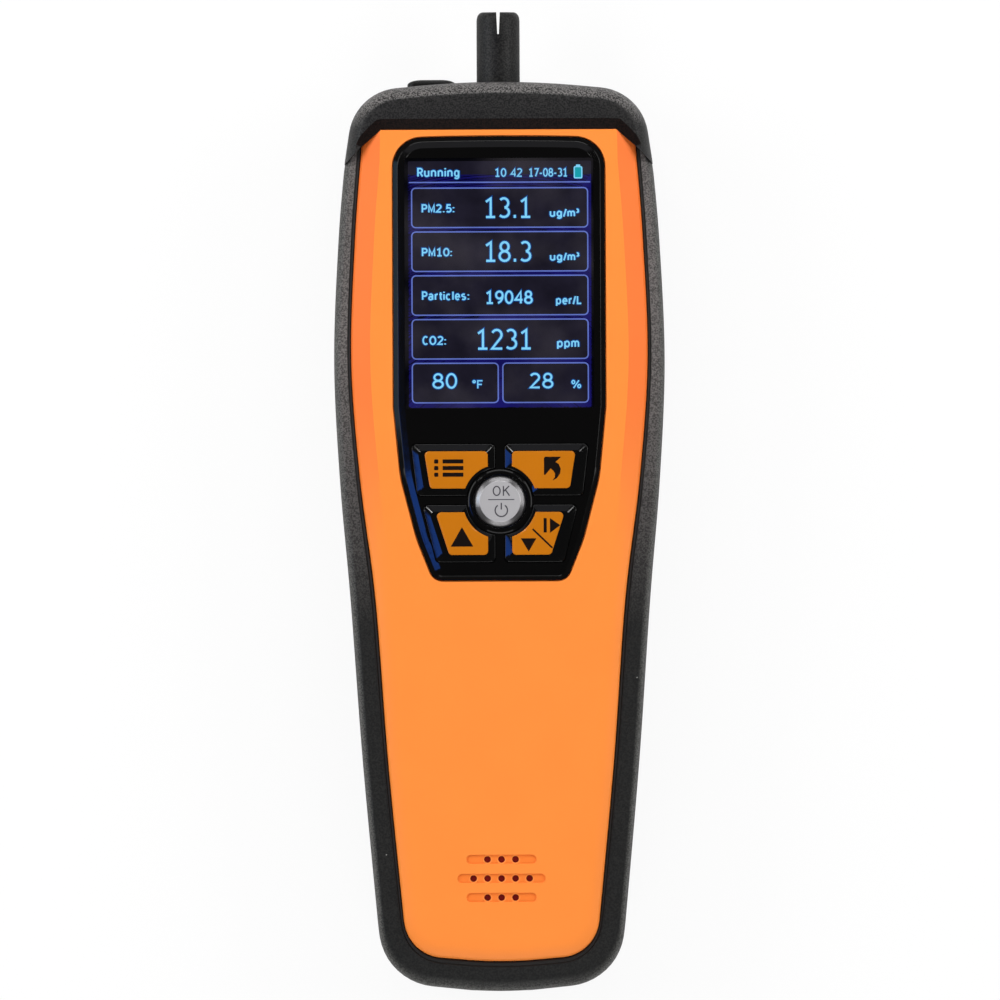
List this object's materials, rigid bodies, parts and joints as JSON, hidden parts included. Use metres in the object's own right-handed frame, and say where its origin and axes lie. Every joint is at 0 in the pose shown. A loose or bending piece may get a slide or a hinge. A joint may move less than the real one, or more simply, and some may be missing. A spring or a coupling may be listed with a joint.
{
  "type": "air quality monitor",
  "caption": "Handheld air quality monitor with colour display, five pressed keys, rubber grip bumper, slotted probe, dust and gas sensors inside.",
  "frame": {"origin": "middle of the overall box at the rear face that the part lies on", "axes": "+Z out of the display, +Y towards the probe end, +X to the right as the display is read"},
  "size_m": [0.078, 0.2312, 0.038],
  "materials": {
    "grip_rubber": "soft matt grey-black elastomer with a fine grain",
    "cap_plastic": "black moulded plastic with a fine spark texture",
    "orange_plastic": "satin orange moulded plastic",
    "rear_plastic": "black moulded plastic with a fine spark texture",
    "gloss_black": "polished piano-black plastic",
    "clear_pane": "clear acrylic pane",
    "key_black": "gloss black key cap",
    "amber_inlay": "translucent amber inlay with black pictograms",
    "silver_key": "satin metal-plated key",
    "tin_plate": "tin-plated sheet",
    "display_panel": "dark display glass",
    "white_plastic": "white moulded plastic",
    "flex_film": "amber polyimide ribbon",
    "circuit_board": "green solder mask on glass-fibre board",
    "switch_metal": "stamped steel switch cover",
    "inner_black": "plain black moulded plastic",
    "foam": "open-cell foam",
    "screw_steel": "zinc-plated steel",
    "laser_brass": "turned brass or gold-plated metal",
    "mesh_steel": "woven steel mesh",
    "seal_rubber": "black silicone",
    "probe_plastic": "satin black moulded plastic",
    "battery_wrap": "silver laminate pouch",
    "lead_red": "red wire insulation",
    "lead_black": "black wire insulation"
  },
  "bodies": {
    "case": {"grip_bumper": "grip_rubber", "top_cap": "cap_plastic", "front_cover": "orange_plastic", "rear_cover": "rear_plastic", "window_frame": "gloss_black", "display_window": "clear_pane", "lcd_frame": "tin_plate", "lcd_panel": "display_panel", "backlight": "white_plastic", "lcd_flex": "flex_film", "main_board": "circuit_board", "menu_switch": "switch_metal", "back_switch": "switch_metal", "up_switch": "switch_metal", "down_switch": "switch_metal", "ok_switch": "switch_metal", "buzzer": "inner_black", "buzzer_gasket": "foam", "case_screw_1": "screw_steel", "case_screw_2": "screw_steel", "case_screw_3": "screw_steel", "case_screw_4": "screw_steel", "board_screw_1": "screw_steel", "board_screw_2": "screw_steel", "board_screw_3": "screw_steel", "board_screw_4": "screw_steel", "cap_screw_1": "screw_steel", "cap_screw_2": "screw_steel", "dust_sensor_base": "inner_black", "dust_sensor_board": "circuit_board", "dust_sensor_lid": "tin_plate", "fan_frame": "inner_black", "laser_diode": "laser_brass", "vent_mesh": "mesh_steel", "inlet_duct": "seal_rubber", "inlet_filter": "foam", "inlet_grille": "gloss_black", "probe_tube": "probe_plastic", "probe_seal": "seal_rubber", "humidity_board": "circuit_board", "probe_flex": "flex_film", "gas_sensor_board": "circuit_board", "gas_chamber": "laser_brass", "battery_pad": "foam", "battery_cell": "battery_wrap", "battery_connector": "white_plastic", "battery_lead_red": "lead_red", "battery_lead_black": "lead_black", "usb_socket": "tin_plate", "usb_tongue": "inner_black"},
    "menu_key_body": {"menu_key": "key_black", "menu_key_inlay": "amber_inlay"},
    "back_key_body": {"back_key": "key_black", "back_key_inlay": "amber_inlay"},
    "up_key_body": {"up_key": "key_black", "up_key_inlay": "amber_inlay"},
    "down_key_body": {"down_key": "key_black", "down_key_inlay": "amber_inlay"},
    "ok_key_body": {"ok_key": "silver_key"},
    "fan_body": {"fan_rotor": "inner_black"}
  },
  "joints": [
    {"name": "menu_key_press", "type": "slide", "parent": "case", "child": "menu_key_body", "axis": [0, 0, -1], "range_m": [0, 0.0006], "stiffness_N_per_m": 400, "springref_m": -0.001},
    {"name": "back_key_press", "type": "slide", "parent": "case", "child": "back_key_body", "axis": [0, 0, -1], "range_m": [0, 0.0006], "stiffness_N_per_m": 400, "springref_m": -0.001},
    {"name": "up_key_press", "type": "slide", "parent": "case", "child": "up_key_body", "axis": [0, 0, -1], "range_m": [0, 0.0006], "stiffness_N_per_m": 400, "springref_m": -0.001},
    {"name": "down_key_press", "type": "slide", "parent": "case", "child": "down_key_body", "axis": [0, 0, -1], "range_m": [0, 0.0006], "stiffness_N_per_m": 400, "springref_m": -0.001},
    {"name": "ok_key_press", "type": "slide", "parent": "case", "child": "ok_key_body", "axis": [0, 0, -1], "range_m": [0, 0.0006], "stiffness_N_per_m": 400, "springref_m": -0.001},
    {"name": "fan_spin", "type": "hinge", "parent": "case", "child": "fan_body", "pos_m": [0.011, 0.0532, 0.008], "axis": [0, 0, 1], "continuous": true}
  ]
}
